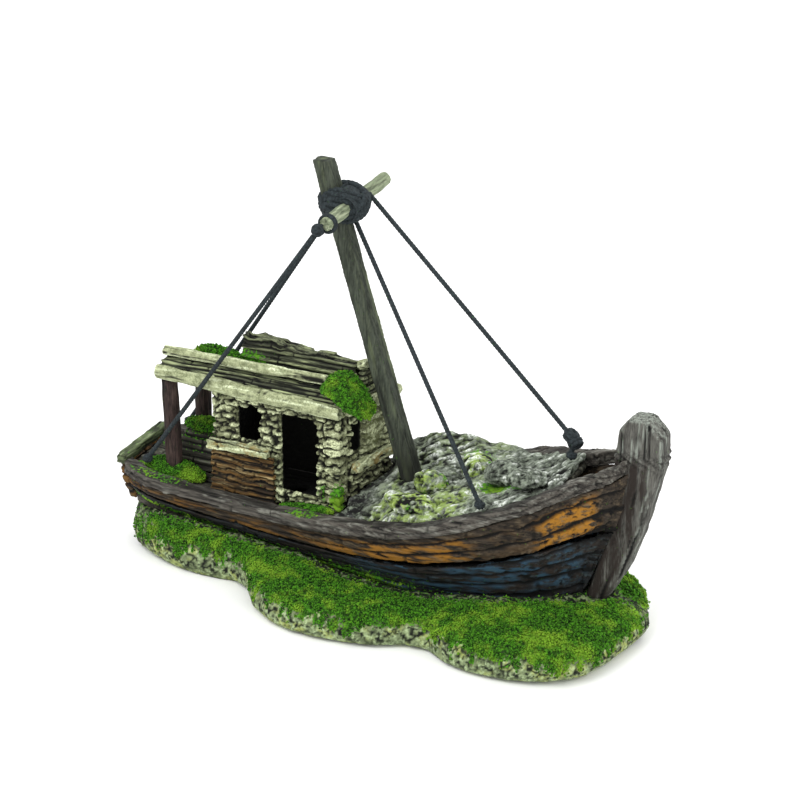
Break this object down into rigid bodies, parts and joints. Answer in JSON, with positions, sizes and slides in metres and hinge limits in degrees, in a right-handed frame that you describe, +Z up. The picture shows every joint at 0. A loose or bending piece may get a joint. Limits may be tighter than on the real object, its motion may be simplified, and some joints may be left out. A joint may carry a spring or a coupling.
{
  "type": "bubbling ornament",
  "caption": "Sunken fishing boat on a mossy rock, with a cabin, a raked mast and rope stays, and an air stone under the cabin that sends bubbles out of its doorway",
  "frame": {"origin": "middle of the ornament's bounding box, on the surface that the rock stands on", "axes": "+X towards the boat's bow, +Y towards its port side, +Z up"},
  "size_m": [0.223, 0.096, 0.1666],
  "materials": {
    "rock": "cast and painted resin rock, pale grey-green with dark speckle",
    "moss": "flocked green fibre moss",
    "weathered_wood": "cast resin painted as grey-brown weathered wood",
    "ochre_planks": "cast resin planks, worn ochre paint over dark brown",
    "blue_planks": "cast resin planks, dark blue paint with lichen patches",
    "deck": "cast resin deck, dark grey wash",
    "pale_stone": "cast resin blockwork, cream dry-brushed over dark grooves",
    "roof_boards": "cast resin boards, dark grey with pale dry-brushed edges",
    "pale_beam": "cast resin log beams, cream with dark pits",
    "rubble": "cast resin rubble, white and lime dry-brushed over dark hollows",
    "post_wood": "cast resin post painted brown-purple wood",
    "mast_wood": "dark stained square wooden stick",
    "yard_wood": "pale olive wooden dowel",
    "cord": "dark slate braided cord",
    "clear_plastic": "translucent plastic nozzle and air tube",
    "air_stone": "porous sintered air stone"
  },
  "bodies": {
    "root": {"aft_eave_beam": "pale_beam", "aft_hatch": "deck", "aft_port_stay": "cord", "aft_starboard_stay": "cord", "air_inlet_barb": "clear_plastic", "air_stone": "air_stone", "air_tube": "clear_plastic", "boulder_1": "rubble", "boulder_2": "rubble", "boulder_3": "rubble", "boulder_4": "rubble", "boulder_5": "rubble", "bow_knot": "cord", "bow_lanyard": "cord", "cabin_front_wall": "pale_stone", "cabin_port_wall": "pale_stone", "cabin_rear_wall": "pale_stone", "cabin_starboard_wall": "pale_stone", "corner_column": "pale_stone", "fore_heap": "rubble", "fore_port_stay": "cord", "fore_starboard_stay": "cord", "front_eave_beam": "pale_beam", "front_sill": "pale_beam", "keel_board": "weathered_wood", "lower_cladding": "ochre_planks", "main_deck": "deck", "mast": "mast_wood", "mast_lashing": "cord", "moss_aft_deck": "moss", "moss_doorway": "moss", "moss_hatch": "moss", "moss_roof_aft": "moss", "moss_roof_front": "moss", "port_eave_beam": "pale_beam", "port_gunwale": "weathered_wood", "port_lower_strake": "blue_planks", "port_porch_post": "post_wood", "port_upper_strake": "ochre_planks", "raised_end_beam": "pale_beam", "raised_front_board": "roof_boards", "raised_port_boards": "roof_boards", "raised_starboard_boards": "roof_boards", "raised_top_boards": "roof_boards", "rock_base": "rock", "roof_front_slope": "roof_boards", "roof_port_slope": "roof_boards", "roof_starboard_slope": "roof_boards", "starboard_eave_beam": "pale_beam", "starboard_gunwale": "weathered_wood", "starboard_lower_strake": "blue_planks", "starboard_porch_post": "post_wood", "starboard_upper_strake": "ochre_planks", "stem_post": "weathered_wood", "stern_rail": "weathered_wood", "transom": "ochre_planks", "upper_beam": "pale_beam", "window_sill": "pale_beam", "yard": "yard_wood", "yard_whipping": "cord"}
  },
  "joints": []
}
